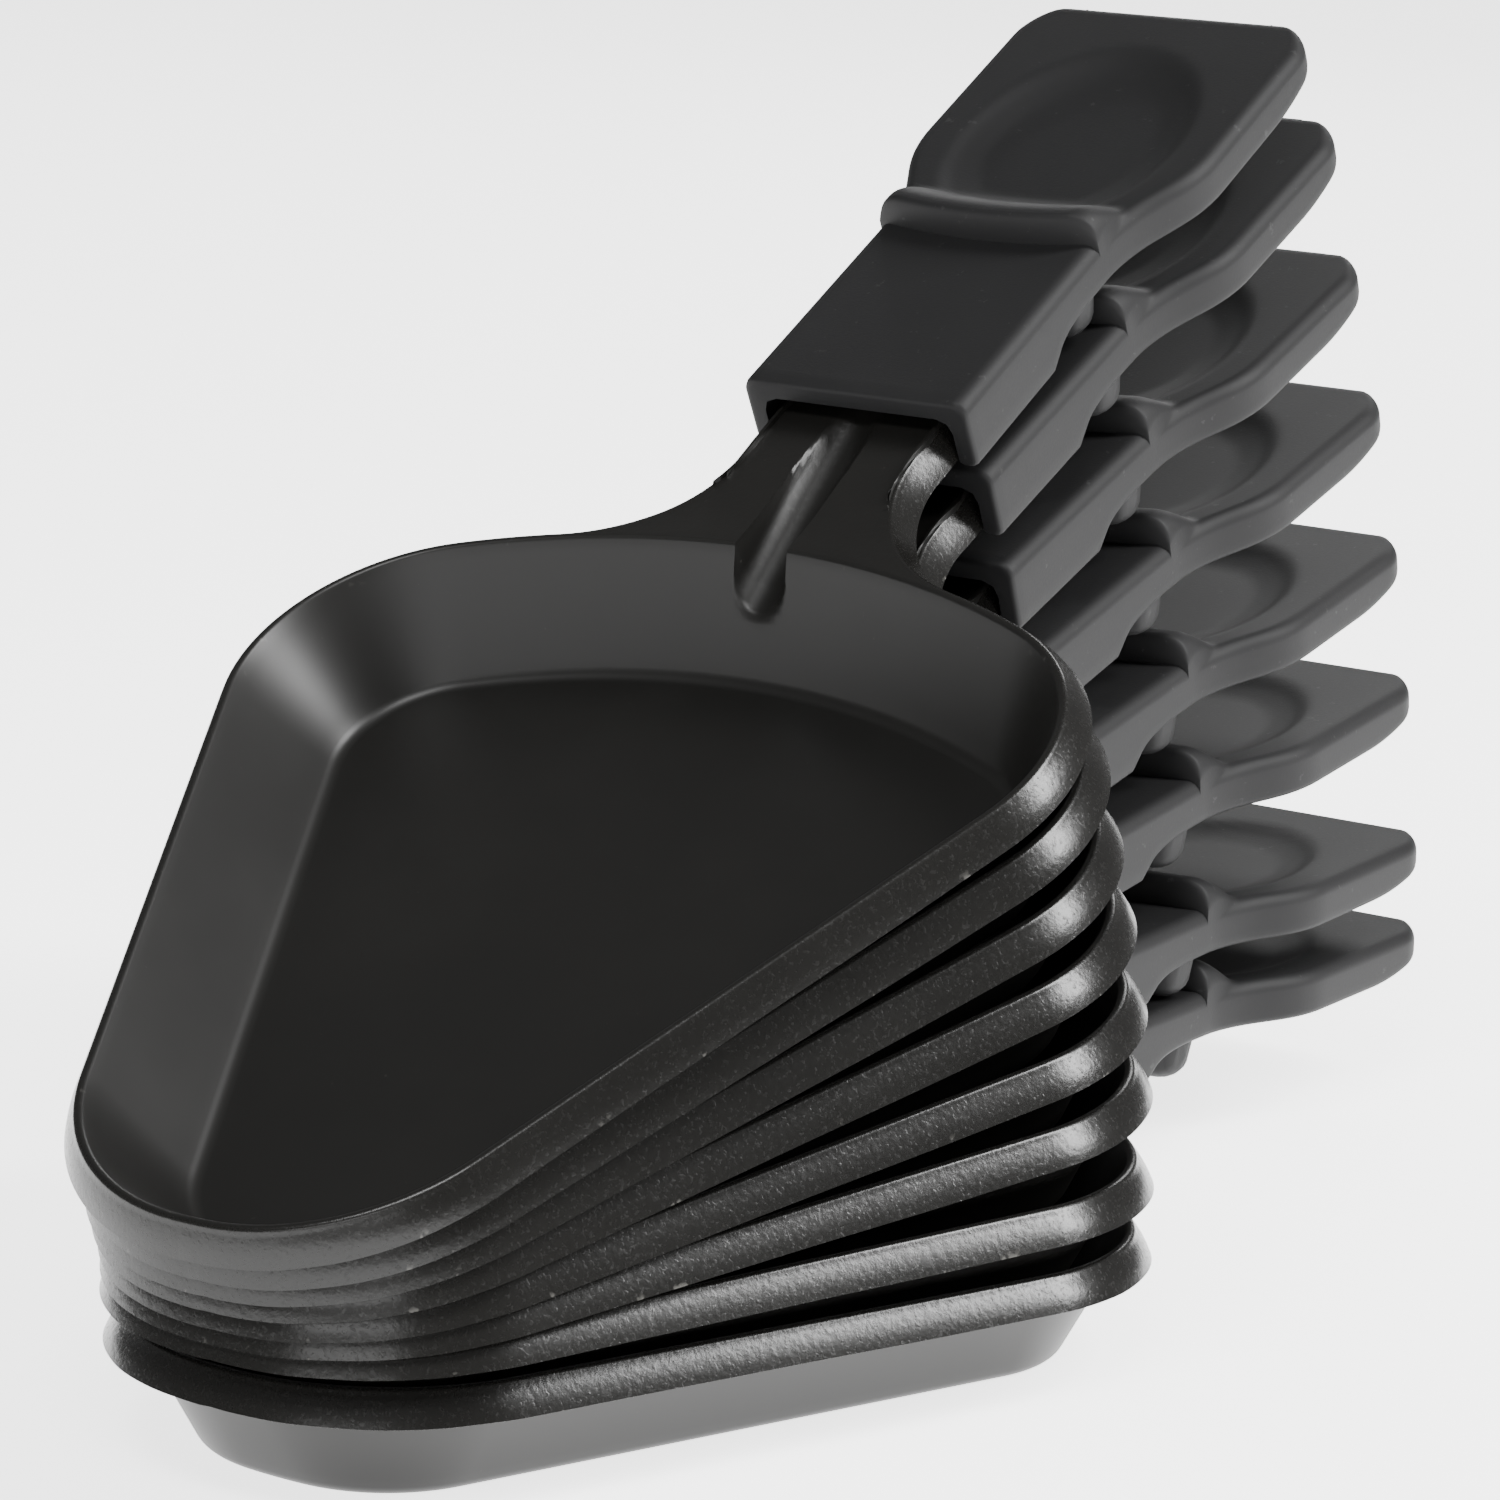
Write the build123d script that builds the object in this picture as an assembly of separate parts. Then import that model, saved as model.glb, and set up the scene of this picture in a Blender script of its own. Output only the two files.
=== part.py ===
from build123d import *
import os
from math import hypot, sqrt

os.makedirs("parts", exist_ok=True)

# Eight equal pans, nested and fanned. One pan is drawn once in its own frame and then placed
# eight times. Pan frame: origin under the middle of the dish floor, +Z up, +Y along the handle.

# -- dish ------------------------------------------------------------------------------------
SHEET = 0.45            # steel thickness
DEPTH = 11.95           # underside of the floor to the crest of the rim
CREST_HALF_WIDTH = 34.2  # half width of the crest line half way along the dish
SIDE_OPENING = 0.397    # sideways growth of the straight side per millimetre towards the neck
CREST_LENGTH = 95.6     # crest line, tip to neck end
REAR_BOW = 76.0         # plan radius of the neck end
REAR_CORNER = 19.4      # plan radius of the two corners beside the neck
TIP_BOW = 50.0          # plan radius of the tip
TIP_CORNER = 21.0       # plan radius of the two tip corners
WALL_INSET = 6.95       # inner face of the wall at the floor, measured in from the crest line
FLOOR_REAR_CORNER = 18.1  # the corners draw in a little tighter towards the floor
FLOOR_TIP_CORNER = 19.2
RIM_HALF = 0.57         # half thickness of the rolled rim
FLOOR_FILLET = 1.6      # inside fillet between floor and wall
SKIRT_DEPTH = 3.0       # crest to the lower edge of the turned-down skirt
SKIRT_REACH = 2.1       # lower edge of the skirt, measured out from the crest line
CREST_DRAFT = 0.35      # above the shoulder the rim leans in by this share of the skirt slope

# -- neck and tang ---------------------------------------------------------------------------
NECK_HALF = 8.2         # half width of the neck at the crest line
NECK_FLARE = 18.0       # concave plan radius between neck and rim
NECK_RISE = 1.0         # the neck ends this much above the crest
NECK_RISE_START = 50.0
NECK_RISE_END = 64.0
CHANNEL_END = 83.0      # the tang is a channel up to here
TONGUE_END = 95.5       # and a flat tongue up to here
TONGUE_HALF = 6.5
GROOVE_HALF = 2.8       # half width of the round-bottomed groove
GROOVE_START = (44.6, 6.3)   # y, z of the groove bottom where it leaves the dish wall
GROOVE_FINISH = (66.5, 12.3)
GROOVE_LEAD = 6.0       # the groove tool starts this far before the wall

# -- handle ----------------------------------------------------------------------------------
SOCKET_FRONT = 66.5
SOCKET_HALF = 12.3
SOCKET_BOTTOM = 9.2
BAR_TOP = 16.4
BAR_BOTTOM = 11.7
SOCKET_END = 83.4       # the underside steps up from here
STEP_END = 90.5
GRIP_START = 93.5       # the bar widens between these two
GRIP_FULL = 111.0
GRIP_HALF = 16.6
GRIP_END = 135.5
GRIP_CORNER = 6.0
GRIP_BOW = 90.0         # plan radius of the far end
LIFT_START = 122.5      # the underside curves up from here to the far end
LIFT = 2.6
EDGE_ROUND = 1.5
POCKET_HALF = 10.4      # space inside the socket
POCKET_TOP = 14.4
POCKET_END = 84.0
POCKET_ROUND = 1.6
RIDGE_FRONT = 92.7
RIDGE_BOW = 54.0
RIDGE_TOP = 19.5
RIDGE_CREST = 95.6      # the ridge is level up to here, then falls to the thumb scoop
RIDGE_BACK = 103.0
RIDGE_END_ROUND = 3.0
SCOOP_CENTRE = 111.5
SCOOP_HALF_WIDTH = 12.6
SCOOP_HALF_LENGTH = 16.8
SCOOP_DEPTH = 2.0
FOOT_Y = 90.6
FOOT_RADIUS = 2.6
FOOT_BOTTOM = 7.6
FOOT_HALF = 11.4

# -- screw -----------------------------------------------------------------------------------
SCREW_RADIUS = 1.2
SCREW_TOP = 15.6
HEAD_RADIUS = 2.0
HEAD_BOTTOM = 8.1
HEAD_HEIGHT = 1.5
SLOT_WIDTH = 0.6
SLOT_DEPTH = 0.5
POINT_CHAMFER = 0.5
SCREW_PLAY = 0.3        # round the shank, in the hole through the tongue
SIDE_PLAY = 0.2         # beside the tongue and round the screw head
FIT = 0.05              # running fit of screw and tongue in the plastic

# -- placing of the eight pans: tilt and twist in degrees, then x, y, z --------------------------
PLACING = (
    (0.0, 0.0, 0.0, 0.0, 0.0),
    (1.75, 0.1, 0.7, -1.05, 6.2),
    (6.7, 0.5, 0.5, -0.5, 11.9),
    (11.1, 0.8, 0.2, -0.4, 17.1),
    (15.7, 1.0, -0.1, -1.1, 22.8),
    (20.1, 1.2, -0.4, -2.0, 28.05),
    (24.5, 1.3, -0.5, -3.12, 33.25),
    (27.2, 1.7, -0.4, -5.82, 37.8),
)

BIG = 200.0             # larger than a whole pan
MARGIN = 1.0            # overrun of cutters and overlap of joined blocks
SIDE_SLANT = hypot(1.0, SIDE_OPENING)


def middle(centre, radius, start, end):
    """Point half way along the shorter arc from start to end about centre."""
    mid = (start + end) / 2 - centre
    return centre + mid * (radius / mid.length)


def corner_centre(bow_y, reach, half_width, sign):
    """Centre that is reach from the bow centre and on the side line moved in to half_width."""
    a = 1.0 + SIDE_OPENING ** 2
    b = 2.0 * (half_width * SIDE_OPENING - bow_y)
    c = half_width ** 2 + bow_y ** 2 - reach ** 2
    y = (-b + sign * sqrt(b * b - 4.0 * a * c)) / (2.0 * a)
    return Vector(half_width + SIDE_OPENING * y, y)


def right_side(out, rear_corner, tip_corner):
    """Corner points and centres of the right half of the dish outline, moved out by out."""
    rear_y = CREST_LENGTH / 2 - REAR_BOW
    tip_y = TIP_BOW - CREST_LENGTH / 2
    rear = corner_centre(rear_y, REAR_BOW - rear_corner,
                         CREST_HALF_WIDTH - rear_corner * SIDE_SLANT, 1)
    tip = corner_centre(tip_y, TIP_BOW - tip_corner,
                        CREST_HALF_WIDTH - tip_corner * SIDE_SLANT, -1)
    square = Vector(1.0, -SIDE_OPENING) * (1.0 / SIDE_SLANT)
    tip_bow = Vector(0, tip_y)
    rear_bow = Vector(0, rear_y)
    tip_join = tip + (tip - tip_bow).normalized() * (tip_corner + out)
    tip_side = tip + square * (tip_corner + out)
    rear_side = rear + square * (rear_corner + out)
    rear_join = rear + (rear - rear_bow).normalized() * (rear_corner + out)
    return tip, rear, tip_join, tip_side, rear_side, rear_join


def mirrored(point):
    return Vector(-point.X, point.Y)


def arc(start, mid, end):
    return Edge.make_three_point_arc(start, mid, end)


def mirrored_face(stops, mids, cross_start, cross_end):
    """Closed face, symmetric about x = 0.

    stops are the corner points of the right half in order, mids the arc point between each pair
    (None for a straight edge). cross_end joins the last stop to its mirror image, cross_start
    the first.
    """
    points = stops + [mirrored(stop) for stop in reversed(stops)]
    left_mids = [mid and mirrored(mid) for mid in reversed(mids)]
    all_mids = mids + [cross_end] + left_mids + [cross_start]
    edges = []
    for start, mid, end in zip(points, all_mids, points[1:] + points[:1]):
        edges.append(arc(start, mid, end) if mid else Edge.make_line(start, end))
    return Face(Wire(edges))


def dish_outline(out, z, rear_corner=REAR_CORNER, tip_corner=TIP_CORNER):
    """Dish outline moved out by out, at height z."""
    tip, rear, tip_join, tip_side, rear_side, rear_join = right_side(out, rear_corner, tip_corner)
    stops = [tip_join, tip_side, rear_side, rear_join]
    mids = [
        middle(tip, tip_corner + out, tip_join, tip_side),
        None,
        middle(rear, rear_corner + out, rear_side, rear_join),
    ]
    tip_end = Vector(0, -CREST_LENGTH / 2 - out)
    rear_end = Vector(0, CREST_LENGTH / 2 + out)
    return Pos(0, 0, z) * mirrored_face(stops, mids, tip_end, rear_end)


def rim_outline(out, z):
    """Outline of rim and neck together, moved out by out, at height z."""
    tip, rear, tip_join, tip_side, rear_side, rear_join = right_side(out, REAR_CORNER, TIP_CORNER)
    bow = Vector(0, CREST_LENGTH / 2 - REAR_BOW)
    flare_x = NECK_HALF + NECK_FLARE
    flare = Vector(flare_x, bow.Y + sqrt((REAR_BOW + NECK_FLARE) ** 2 - flare_x ** 2))
    bow_end = bow + (flare - bow).normalized() * (REAR_BOW + out)
    neck_start = Vector(NECK_HALF + out, flare.Y)
    neck_end = Vector(NECK_HALF + out, CHANNEL_END)
    stops = [tip_join, tip_side, rear_side, rear_join, bow_end, neck_start, neck_end]
    mids = [
        middle(tip, TIP_CORNER + out, tip_join, tip_side),
        None,
        middle(rear, REAR_CORNER + out, rear_side, rear_join),
        middle(bow, REAR_BOW + out, rear_join, bow_end),
        middle(flare, NECK_FLARE - out, bow_end, neck_start),
        None,
    ]
    tip_end = Vector(0, -CREST_LENGTH / 2 - out)
    return Pos(0, 0, z) * mirrored_face(stops, mids, tip_end, None)


def between(lower, upper):
    """Solid with straight walls between two outlines."""
    return Solid.make_loft([lower.outer_wire(), upper.outer_wire()], True).fix()


def below_profile(drop):
    """Everything below the top of rim, neck and tang, lowered by drop."""
    top = DEPTH - drop
    points = [
        (-BIG, -BIG), (BIG, -BIG), (BIG, top + NECK_RISE), (NECK_RISE_END, top + NECK_RISE),
        (NECK_RISE_START, top), (-BIG, top),
    ]
    return extrude(Plane.YZ * make_face(Polyline(*points, close=True)), BIG, both=True)


def rim_block(inset, drop):
    """Solid block under rim, neck and tang; its sides slope like the skirt."""
    slope = (SKIRT_REACH - RIM_HALF) / (SKIRT_DEPTH - RIM_HALF)
    overrun = MARGIN if inset else 0.0
    low = DEPTH - SKIRT_DEPTH - overrun
    high = DEPTH + NECK_RISE + MARGIN / 2
    out_low = SKIRT_REACH - inset + slope * overrun
    out_high = RIM_HALF - inset - slope * (high - DEPTH + RIM_HALF) * CREST_DRAFT
    shoulder = DEPTH - RIM_HALF
    lower = between(rim_outline(out_low, low), rim_outline(RIM_HALF - inset, shoulder))
    upper = between(rim_outline(RIM_HALF - inset, shoulder), rim_outline(out_high, high))
    return (lower + upper) & below_profile(drop)


def groove_block(half, drop):
    """Round-bottomed slanted bar that forms one face of the groove."""
    run = GROOVE_FINISH[0] - GROOVE_START[0]
    rise = GROOVE_FINISH[1] - GROOVE_START[1]
    length = hypot(run, rise)
    profile = Circle(half) + Pos(0, half) * Rectangle(2 * half, 2 * half)
    along = Vector(0, run / length, rise / length)
    up = Vector(0, -rise / length, run / length)
    origin = Vector(0, *GROOVE_START) + up * GROOVE_HALF - along * GROOVE_LEAD
    plane = Plane(origin=origin, x_dir=(-1, 0, 0), z_dir=along)
    return extrude(plane * profile, length + GROOVE_LEAD + drop)


def make_dish():
    wall_slope = (WALL_INSET - RIM_HALF) / (DEPTH - RIM_HALF - SHEET)
    wall_cos = 1.0 / hypot(1.0, wall_slope)
    inner_floor = dish_outline(-WALL_INSET, SHEET, FLOOR_REAR_CORNER, FLOOR_TIP_CORNER)
    inner_top = dish_outline(-RIM_HALF + wall_slope * (RIM_HALF + MARGIN), DEPTH + MARGIN)
    cavity = between(inner_floor, inner_top)
    cavity = fillet(cavity.edges().group_by(Axis.Z)[0], FLOOR_FILLET)
    out_shift = SHEET / wall_cos
    outer_floor = dish_outline(-WALL_INSET - wall_slope * SHEET + out_shift, 0.0,
                               FLOOR_REAR_CORNER, FLOOR_TIP_CORNER)
    cup_top = DEPTH - SHEET / 2
    outer_top = dish_outline(-RIM_HALF - wall_slope * (SHEET / 2 - RIM_HALF) + out_shift, cup_top)
    cup = between(outer_floor, outer_top)
    cup = fillet(cup.edges().group_by(Axis.Z)[0], FLOOR_FILLET + SHEET)
    skin = rim_block(0.0, 0.0) - rim_block(SHEET, SHEET)
    groove_skin = groove_block(GROOVE_HALF + SHEET, MARGIN / 2) & below_profile(SHEET / 2)
    tongue_top = DEPTH + NECK_RISE
    tongue_start = CHANNEL_END - 2 * MARGIN
    tongue = Pos(0, (tongue_start + TONGUE_END) / 2, tongue_top - SHEET / 2) * Box(
        2 * TONGUE_HALF, TONGUE_END - tongue_start, SHEET)
    hole = Pos(0, FOOT_Y, tongue_top) * Cylinder(SCREW_RADIUS + SCREW_PLAY, 4 * MARGIN)
    return (skin + cup + groove_skin + tongue) - cavity - groove_block(GROOVE_HALF, 0.0) - hole


def grip_plan():
    """Plan of the handle: a straight bar that widens into the grip."""
    swell = (GRIP_HALF - SOCKET_HALF) / 2
    half_run = (GRIP_FULL - GRIP_START) / 2
    radius = (half_run ** 2 + swell ** 2) / (2 * swell)
    bow_y = GRIP_END - GRIP_BOW
    corner = Vector(GRIP_HALF - GRIP_CORNER,
                    bow_y + sqrt((GRIP_BOW - GRIP_CORNER) ** 2 - (GRIP_HALF - GRIP_CORNER) ** 2))
    start = Vector(SOCKET_HALF, GRIP_START)
    half_way = Vector(SOCKET_HALF + swell, GRIP_START + half_run)
    full = Vector(GRIP_HALF, GRIP_FULL)
    side_end = Vector(GRIP_HALF, corner.Y)
    end_join = corner + (corner - Vector(0, bow_y)).normalized() * GRIP_CORNER
    front = Vector(SOCKET_HALF, SOCKET_FRONT)
    stops = [front, start, half_way, full, side_end, end_join]
    mids = [
        None,
        middle(Vector(SOCKET_HALF + radius, GRIP_START), radius, start, half_way),
        middle(Vector(GRIP_HALF - radius, GRIP_FULL), radius, half_way, full),
        None,
        middle(corner, GRIP_CORNER, side_end, end_join),
    ]
    return mirrored_face(stops, mids, None, Vector(0, GRIP_END))


def side_profile():
    """Side view of the handle bar, as a slab across its whole width."""
    lift_radius = ((GRIP_END - LIFT_START) ** 2 + LIFT ** 2) / (2 * LIFT)
    lift_centre = Vector(LIFT_START, BAR_BOTTOM + lift_radius)
    lift_start = Vector(LIFT_START, BAR_BOTTOM)
    lift_end = Vector(GRIP_END, BAR_BOTTOM + LIFT)
    step_rise = BAR_BOTTOM - SOCKET_BOTTOM
    edges = [
        Edge.make_line(Vector(SOCKET_FRONT, BAR_TOP), Vector(SOCKET_FRONT, SOCKET_BOTTOM)),
        Edge.make_line(Vector(SOCKET_FRONT, SOCKET_BOTTOM), Vector(SOCKET_END, SOCKET_BOTTOM)),
        arc(Vector(SOCKET_END, SOCKET_BOTTOM),
            Vector(SOCKET_END + 0.38 * (STEP_END - SOCKET_END), SOCKET_BOTTOM + 0.66 * step_rise),
            Vector(STEP_END, BAR_BOTTOM)),
        Edge.make_line(Vector(STEP_END, BAR_BOTTOM), lift_start),
        arc(lift_start, middle(lift_centre, lift_radius, lift_start, lift_end), lift_end),
        Edge.make_line(lift_end, Vector(GRIP_END, BAR_TOP)),
        Edge.make_line(Vector(GRIP_END, BAR_TOP), Vector(SOCKET_FRONT, BAR_TOP)),
    ]
    return extrude(Plane.YZ * Face(Wire(edges)), GRIP_HALF + 1, both=True)


def make_ridge():
    """Finger ridge: bowed front face, rounded ends, level crest, falling back."""
    centre_y = RIDGE_FRONT + RIDGE_BOW
    front_slab = Pos(0, centre_y, RIDGE_TOP / 2) * Cylinder(RIDGE_BOW, RIDGE_TOP)
    end_y = centre_y - sqrt(RIDGE_BOW ** 2 - SOCKET_HALF ** 2)
    base = BAR_TOP - MARGIN
    profile = Polyline(
        (RIDGE_FRONT - MARGIN, base), (RIDGE_BACK, base), (RIDGE_BACK, BAR_TOP),
        (end_y + RIDGE_CREST - RIDGE_FRONT, RIDGE_TOP), (RIDGE_FRONT - MARGIN, RIDGE_TOP), close=True)
    body = extrude(Plane.YZ * make_face(profile), SOCKET_HALF, both=True)
    ends = body.edges().filter_by(Axis.Y).sort_by(Axis.Z)[-2:]
    body = fillet(ends, RIDGE_END_ROUND)
    return body & front_slab


def make_scoop():
    """Thumb scoop cutter: the lower part of an ellipsoid."""
    height = 2.0 * SCOOP_DEPTH
    share = sqrt(1.0 - ((height - SCOOP_DEPTH) / height) ** 2)
    ball = scale(Sphere(1.0), by=(SCOOP_HALF_WIDTH / share, SCOOP_HALF_LENGTH / share, height))
    return Pos(0, SCOOP_CENTRE, BAR_TOP + height - SCOOP_DEPTH) * ball


def make_foot():
    """Rounded rib across the underside."""
    y = FOOT_Y
    z = FOOT_BOTTOM + FOOT_RADIUS
    reach = FOOT_HALF - FOOT_RADIUS
    rib = Pos(0, y, z) * Rot(Y=90) * Cylinder(FOOT_RADIUS, 2 * reach)
    for side in (-reach, reach):
        rib += Pos(side, y, z) * Sphere(FOOT_RADIUS)
        rib += Pos(side, y, z + FOOT_RADIUS / 2) * Cylinder(FOOT_RADIUS, FOOT_RADIUS)
    return rib + Pos(0, y, z + FOOT_RADIUS / 2) * Box(2 * reach, 2 * FOOT_RADIUS, FOOT_RADIUS)


def make_handle():
    bar = extrude(grip_plan(), BAR_TOP) & side_profile()
    top_edges = bar.faces().sort_by(Axis.Z)[-1].edges()
    bar = fillet(top_edges, EDGE_ROUND)
    solid = bar + make_ridge() - make_scoop() + make_foot()
    pocket_length = POCKET_END - SOCKET_FRONT + 2 * MARGIN
    pocket_height = POCKET_TOP - SOCKET_BOTTOM + 2 * MARGIN
    pocket = Pos(0, POCKET_END - pocket_length / 2, POCKET_TOP - pocket_height / 2) * Box(
        2 * POCKET_HALF, pocket_length, pocket_height)
    pocket = fillet(pocket.edges().filter_by(Axis.Y).sort_by(Axis.Z)[-2:], POCKET_ROUND)
    tongue_top = DEPTH + NECK_RISE
    slot_length = TONGUE_END - POCKET_END + MARGIN
    slot = Pos(0, POCKET_END - MARGIN / 2 + slot_length / 2, tongue_top - SHEET / 2) * Box(
        2 * (TONGUE_HALF + SIDE_PLAY), slot_length, SHEET + 2 * FIT)
    bore = Pos(0, FOOT_Y, SCREW_TOP / 2 + FIT) * Cylinder(SCREW_RADIUS + FIT, SCREW_TOP)
    recess_top = HEAD_BOTTOM + HEAD_HEIGHT + FIT
    recess = Pos(0, FOOT_Y, recess_top / 2) * Cylinder(HEAD_RADIUS + SIDE_PLAY, recess_top)
    return solid - pocket - slot - bore - recess


def make_screw():
    head = Pos(0, FOOT_Y, HEAD_BOTTOM + HEAD_HEIGHT / 2) * Cylinder(HEAD_RADIUS, HEAD_HEIGHT)
    slot = Pos(0, FOOT_Y, HEAD_BOTTOM) * Box(2 * HEAD_RADIUS, SLOT_WIDTH, 2 * SLOT_DEPTH)
    shank_length = SCREW_TOP - HEAD_BOTTOM - HEAD_HEIGHT
    shank = Pos(0, FOOT_Y, SCREW_TOP - shank_length / 2) * Cylinder(SCREW_RADIUS, shank_length)
    point = shank.edges().filter_by(GeomType.CIRCLE).sort_by(Axis.Z)[-1]
    return head - slot + chamfer(point, POINT_CHAMFER)


dish = make_dish()
handle = make_handle()
screw = make_screw()

for number, (tilt, twist, x, y, z) in enumerate(PLACING, start=1):
    place = Pos(x, y, z) * Rot(Z=twist) * Rot(X=tilt)
    for name, shape in (("dish", dish), ("handle", handle), ("screw", screw)):
        export_step(place * shape, f"parts/{name}_{number}.step")
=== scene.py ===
import math

import bmesh
import bpy
from mathutils import Matrix, Vector


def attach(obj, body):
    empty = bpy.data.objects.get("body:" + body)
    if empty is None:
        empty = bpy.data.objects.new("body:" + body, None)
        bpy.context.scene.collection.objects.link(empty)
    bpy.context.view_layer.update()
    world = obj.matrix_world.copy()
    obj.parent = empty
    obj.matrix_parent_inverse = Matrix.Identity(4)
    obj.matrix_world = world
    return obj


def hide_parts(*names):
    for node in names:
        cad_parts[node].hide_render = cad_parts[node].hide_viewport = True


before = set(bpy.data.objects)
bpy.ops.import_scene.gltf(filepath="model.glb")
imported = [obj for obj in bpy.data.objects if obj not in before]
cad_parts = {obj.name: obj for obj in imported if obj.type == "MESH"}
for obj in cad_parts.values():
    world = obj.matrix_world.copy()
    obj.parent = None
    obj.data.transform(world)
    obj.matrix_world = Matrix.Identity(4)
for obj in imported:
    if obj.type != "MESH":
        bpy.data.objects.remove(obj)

bl_info = {
    "name": "Raclette pan stack",
    "version": (1, 0, 0),
    "blender": (4, 5, 0),
    "location": "View3D > Sidebar > Pan stack",
    "description": "Builds a nested, fanned stack of wedge-shaped raclette pans",
    "category": "Add Mesh",
}

MM = 0.001

# Tilt and twist in degrees, then x, y, z in millimetres, from the lowest pan to the top one.
PLACING = (
    (0.0, 0.0, 0.0, 0.0, 0.0),
    (1.75, 0.1, 0.7, -1.05, 6.2),
    (6.7, 0.5, 0.5, -0.5, 11.9),
    (11.1, 0.8, 0.2, -0.4, 17.1),
    (15.7, 1.0, -0.1, -1.1, 22.8),
    (20.1, 1.2, -0.4, -2.0, 28.05),
    (24.5, 1.3, -0.5, -3.12, 33.25),
    (27.2, 1.7, -0.4, -5.82, 37.8),
)

# Camera place in millimetres, angles in degrees, lens in millimetres on a 36 mm sensor.
CAMERA_AZIMUTH = 34.18
CAMERA_ELEVATION = 12.83
CAMERA_ROLL = 1.54
CAMERA_PLACE = (286.7, -394.4, 167.8)
CAMERA_LENS = 135.7
SENSOR = 36.0

# Dish mesh: how many rings or columns each stretch of the pressing gets.
FLOOR_SHARES = (0.12, 0.3, 0.5, 0.7, 0.85, 0.94)
FLOOR_CENTRE_Y = -2.0
FILLET_RINGS = 8
WALL_RINGS = 12
ROLL_RINGS = 5
NECK_ROWS = 24
SKIRT_RINGS = 8
SKIRT_BOW = 0.12        # the skirt swells by this much between crest and lower edge
SKIRT_WAVE = 0.035      # unevenness of the lower edge
FLOOR_TIGHTNESS = (1.3, 1.8)  # corner radii lost at the floor, neck end and tip
WELD = 0.012            # points closer than this are one

# Handle: places along it and sizes that follow from the moulding, in millimetres.
END_ROUND = 3.0         # quarter rounds at both ends of the finger ridge
RIDGE_BOW = 1.4         # the ridge's ends lie this much further back than its middle
SWELL_START = 93.5
SWELL_RUN = 17.5
SCOOP_Y = 111.5
SCOOP_HALF = (12.6, 16.8)
STEP_START = 83.4
STEP_RUN = 7.1
LIFT_START = 122.5
LIFT = 2.6
FOOT_Y = 90.6
FOOT_RADIUS = 2.6
FOOT_Z = 10.2
FOOT_STRAIGHT = 8.8


# -- settings ----------------------------------------------------------------------------------

def length(name, description, default):
    """A length in millimetres."""
    return bpy.props.FloatProperty(name=name, description=description, default=default, min=0.0)


def colour(name, description, default):
    return bpy.props.FloatVectorProperty(
        name=name, description=description, default=default, subtype="COLOR", size=3, min=0.0, max=1.0)


class PanStackDish(bpy.types.PropertyGroup):
    sheet: length("Sheet", "Steel thickness, mm", 0.45)
    depth: length("Depth", "Underside of the floor to the crest of the rim, mm", 11.95)
    half_width: length("Half width", "Half width of the crest line half way along, mm", 34.2)
    opening: length("Opening", "Sideways growth of the side per millimetre towards the neck", 0.397)
    crest_length: length("Length", "Crest line from tip to neck end, mm", 95.6)
    rear_bow: length("Neck end bow", "Plan radius of the neck end, mm", 76.0)
    rear_corner: length("Neck end corner", "Plan radius of the corners beside the neck, mm", 19.4)
    tip_bow: length("Tip bow", "Plan radius of the tip, mm", 50.0)
    tip_corner: length("Tip corner", "Plan radius of the tip corners, mm", 21.0)
    wall_inset: length("Wall inset", "Wall at the floor, in from the crest line, mm", 6.95)
    rim_half: length("Rim half", "Half thickness of the rolled rim, mm", 0.57)
    floor_fillet: length("Floor fillet", "Inside fillet between floor and wall, mm", 1.6)
    skirt_depth: length("Skirt depth", "Crest to the lower edge of the skirt, mm", 3.0)
    skirt_reach: length("Skirt reach", "Lower edge of the skirt, out from the crest line, mm", 2.06)
    neck_half: length("Neck half width", "Half width of the neck, mm", 8.2)
    neck_flare: length("Neck flare", "Concave plan radius between neck and rim, mm", 18.0)
    neck_rise: length("Neck rise", "The neck ends this much above the crest, mm", 1.0)
    channel_end: length("Tang end", "End of the tang channel, mm", 83.0)
    groove_half: length("Groove half width", "Half width of the pressed groove, mm", 2.8)
    coating: colour("Coating", "Non-stick coating", (0.0055, 0.0053, 0.0048))


class PanStackHandle(bpy.types.PropertyGroup):
    front: length("Front", "Front face of the socket, mm from the dish centre", 66.5)
    socket_half: length("Socket half width", "Half width of the socket, mm", 12.3)
    socket_bottom: length("Socket bottom", "Lower edge of the socket, mm", 9.2)
    top: length("Top", "Top of the bar, mm", 16.4)
    bottom: length("Bottom", "Underside of the grip, mm", 11.7)
    grip_half: length("Grip half width", "Half width of the grip, mm", 16.6)
    end: length("End", "Far end of the grip, mm", 135.5)
    corner: length("Corner", "Plan radius of the grip corners, mm", 6.0)
    edge: length("Edge", "Rounding of the top edges, mm", 1.5)
    ridge_front: length("Ridge front", "Front of the finger ridge, mm", 92.7)
    ridge_height: length("Ridge height", "Finger ridge above the bar, mm", 3.05)
    scoop_depth: length("Scoop depth", "Depth of the thumb scoop, mm", 2.0)
    plastic: colour("Plastic", "Handle plastic", (0.0085, 0.0085, 0.0088))


class PanStackStage(bpy.types.PropertyGroup):
    floor: colour("Floor", "Floor and backdrop", (0.92, 0.92, 0.92))


# -- shader maths ------------------------------------------------------------------------------

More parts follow.
